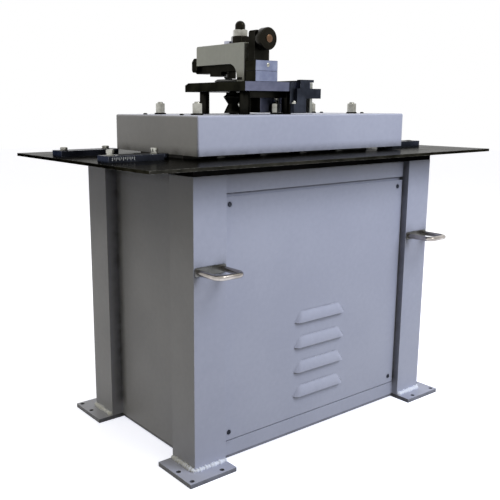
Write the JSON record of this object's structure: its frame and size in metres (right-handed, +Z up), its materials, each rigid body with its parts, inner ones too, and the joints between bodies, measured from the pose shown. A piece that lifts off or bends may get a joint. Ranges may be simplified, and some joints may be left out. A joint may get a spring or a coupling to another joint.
{
  "type": "seam rolling machine",
  "caption": "Grey cabinet seam rolling machine with a long steel table, a covered roll head and a flanging attachment with a C-shaped arm on top.",
  "frame": {"origin": "on the floor, under the middle of the cabinet and of the table", "axes": "+X along the table to the exit end, +Y from the door to the back, +Z up"},
  "size_m": [1.25, 0.7, 1.149],
  "materials": {
    "cabinet_paint": "satin",
    "black_steel": "satin",
    "table_steel": "satin",
    "bright_steel": "polished",
    "attachment_paint": "satin",
    "ground_steel": "ground",
    "roll_steel": "ground",
    "head_iron": "matte",
    "pulley_iron": "matte",
    "motor_paint": "satin",
    "belt_rubber": "matte",
    "switch_plastic": "matte",
    "start_plastic": "gloss",
    "stop_plastic": "gloss"
  },
  "bodies": {
    "frame": {"leg_front_left": "cabinet_paint", "leg_front_right": "cabinet_paint", "leg_rear_left": "cabinet_paint", "leg_rear_right": "cabinet_paint", "front_top_rail": "cabinet_paint", "front_skirt": "cabinet_paint", "front_door": "cabinet_paint", "left_panel": "cabinet_paint", "right_panel": "cabinet_paint", "rear_panel": "cabinet_paint", "cover": "cabinet_paint", "bed_plate": "black_steel", "door_screws": "black_steel", "cover_screws": "black_steel", "flanger_posts": "black_steel", "arm_clamp_bolt": "black_steel", "lever_bracket": "black_steel", "knob_bracket": "black_steel", "gauge_bar": "black_steel", "table": "table_steel", "exit_guide": "table_steel", "leg_handles": "bright_steel", "pressure_bolts": "bright_steel", "guide_bolts": "bright_steel", "arm_clamp_nut": "bright_steel", "flanger_arm": "attachment_paint", "flanger_plate": "ground_steel", "riser_block": "ground_steel", "riser_cap": "ground_steel", "gauge_bracket": "ground_steel", "lower_head": "head_iron", "upper_head": "head_iron", "bridge_plate": "head_iron", "motor_shelf": "head_iron", "gear_motor": "motor_paint", "drive_belt": "belt_rubber", "switch_box": "switch_plastic"},
    "drive": {"drive_shaft": "roll_steel", "driven_pulley": "pulley_iron"},
    "motor_output": {"motor_pulley": "pulley_iron"},
    "spindle": {"flanger_spindle": "roll_steel", "flanging_disc": "roll_steel"},
    "lever": {"roll_lever": "black_steel"},
    "presser": {"pressing_roll": "roll_steel"},
    "lever_adjuster": {"lever_screw": "bright_steel"},
    "knob": {"adjusting_knob": "black_steel"},
    "front_guide_bar": {"front_guide": "table_steel"},
    "rear_guide_bar": {"rear_guide": "table_steel"},
    "start": {"start_button": "start_plastic"},
    "stop": {"stop_button": "stop_plastic"},
    "idler_1": {"idler_gear_1": "roll_steel"},
    "idler_2": {"idler_gear_2": "roll_steel"},
    "lower_rolls_1": {"lower_roll_set_1": "roll_steel"},
    "lower_rolls_2": {"lower_roll_set_2": "roll_steel"},
    "lower_rolls_3": {"lower_roll_set_3": "roll_steel"},
    "lower_rolls_4": {"lower_roll_set_4": "roll_steel"},
    "upper_rolls_1": {"upper_roll_set_1": "roll_steel"},
    "upper_rolls_2": {"upper_roll_set_2": "roll_steel"},
    "upper_rolls_3": {"upper_roll_set_3": "roll_steel"},
    "upper_rolls_4": {"upper_roll_set_4": "roll_steel"}
  },
  "joints": [
    {"name": "drive_spin", "type": "hinge", "parent": "frame", "child": "drive", "pos_m": [-0.052, 0, 0.68942], "axis": [0, -1, 0], "continuous": true},
    {"name": "lower_rolls_1_spin", "type": "hinge", "parent": "frame", "child": "lower_rolls_1", "pos_m": [-0.274, 0, 0.7625], "axis": [0, -1, 0], "continuous": true},
    {"name": "upper_rolls_1_spin", "type": "hinge", "parent": "frame", "child": "upper_rolls_1", "pos_m": [-0.274, 0, 0.8275], "axis": [0, -1, 0], "continuous": true},
    {"name": "lower_rolls_2_spin", "type": "hinge", "parent": "frame", "child": "lower_rolls_2", "pos_m": [-0.126, 0, 0.7625], "axis": [0, -1, 0], "continuous": true},
    {"name": "upper_rolls_2_spin", "type": "hinge", "parent": "frame", "child": "upper_rolls_2", "pos_m": [-0.126, 0, 0.8275], "axis": [0, -1, 0], "continuous": true},
    {"name": "lower_rolls_3_spin", "type": "hinge", "parent": "frame", "child": "lower_rolls_3", "pos_m": [0.022, 0, 0.7625], "axis": [0, -1, 0], "continuous": true},
    {"name": "upper_rolls_3_spin", "type": "hinge", "parent": "frame", "child": "upper_rolls_3", "pos_m": [0.022, 0, 0.8275], "axis": [0, -1, 0], "continuous": true},
    {"name": "lower_rolls_4_spin", "type": "hinge", "parent": "frame", "child": "lower_rolls_4", "pos_m": [0.17, 0, 0.7625], "axis": [0, -1, 0], "continuous": true},
    {"name": "upper_rolls_4_spin", "type": "hinge", "parent": "frame", "child": "upper_rolls_4", "pos_m": [0.17, 0, 0.8275], "axis": [0, -1, 0], "continuous": true},
    {"name": "idler_1_spin", "type": "hinge", "parent": "frame", "child": "idler_1", "pos_m": [-0.2, 0, 0.7625], "axis": [0, -1, 0], "continuous": true},
    {"name": "idler_2_spin", "type": "hinge", "parent": "frame", "child": "idler_2", "pos_m": [0.096, 0, 0.7625], "axis": [0, -1, 0], "continuous": true},
    {"name": "motor_spin", "type": "hinge", "parent": "frame", "child": "motor_output", "pos_m": [-0.052, 0, 0.275], "axis": [0, -1, 0], "continuous": true},
    {"name": "spindle_spin", "type": "hinge", "parent": "frame", "child": "spindle", "pos_m": [-0.126, -0.005, 0.9], "axis": [0, 0, 1], "continuous": true},
    {"name": "lever_adjust", "type": "slide", "parent": "frame", "child": "lever_adjuster", "axis": [0, 0, 1], "range_m": [0, 0.004]},
    {"name": "lever_swing", "type": "hinge", "parent": "frame", "child": "lever", "pos_m": [-0.126, 0.138, 1.024], "axis": [-1, 0, 0], "range_deg": [0, 1.86]},
    {"name": "presser_spin", "type": "hinge", "parent": "lever", "child": "presser", "pos_m": [-0.126, 0.015, 1.004], "axis": [0, 1, 0], "continuous": true},
    {"name": "knob_turn", "type": "hinge", "parent": "frame", "child": "knob", "pos_m": [-0.126, -0.14, 1.094], "axis": [0, -1, 0], "range_deg": [-180, 180]},
    {"name": "front_guide_slide", "type": "slide", "parent": "frame", "child": "front_guide_bar", "axis": [0, 1, 0], "range_m": [-0.01, 0.01]},
    {"name": "rear_guide_slide", "type": "slide", "parent": "frame", "child": "rear_guide_bar", "axis": [0, 1, 0], "range_m": [-0.01, 0.01]},
    {"name": "start_press", "type": "slide", "parent": "frame", "child": "start", "axis": [-1, 0, 0], "range_m": [0, 0.003], "stiffness_N_per_m": 300},
    {"name": "stop_press", "type": "slide", "parent": "frame", "child": "stop", "axis": [-1, 0, 0], "range_m": [0, 0.003], "stiffness_N_per_m": 300}
  ],
  "couplings": [
    {"joint": "lower_rolls_1_spin", "follows": "drive_spin", "ratio": -2.25},
    {"joint": "upper_rolls_1_spin", "follows": "drive_spin", "ratio": 2.25},
    {"joint": "lower_rolls_2_spin", "follows": "drive_spin", "ratio": -2.25},
    {"joint": "upper_rolls_2_spin", "follows": "drive_spin", "ratio": 2.25},
    {"joint": "lower_rolls_3_spin", "follows": "drive_spin", "ratio": -2.25},
    {"joint": "upper_rolls_3_spin", "follows": "drive_spin", "ratio": 2.25},
    {"joint": "lower_rolls_4_spin", "follows": "drive_spin", "ratio": -2.25},
    {"joint": "upper_rolls_4_spin", "follows": "drive_spin", "ratio": 2.25},
    {"joint": "idler_1_spin", "follows": "drive_spin", "ratio": 1.7143},
    {"joint": "idler_2_spin", "follows": "drive_spin", "ratio": 1.7143},
    {"joint": "motor_spin", "follows": "drive_spin", "ratio": 1.5},
    {"joint": "spindle_spin", "follows": "drive_spin", "ratio": 2.25},
    {"joint": "lever_swing", "follows": "lever_adjust", "rad_per_m": 8.1301}
  ]
}
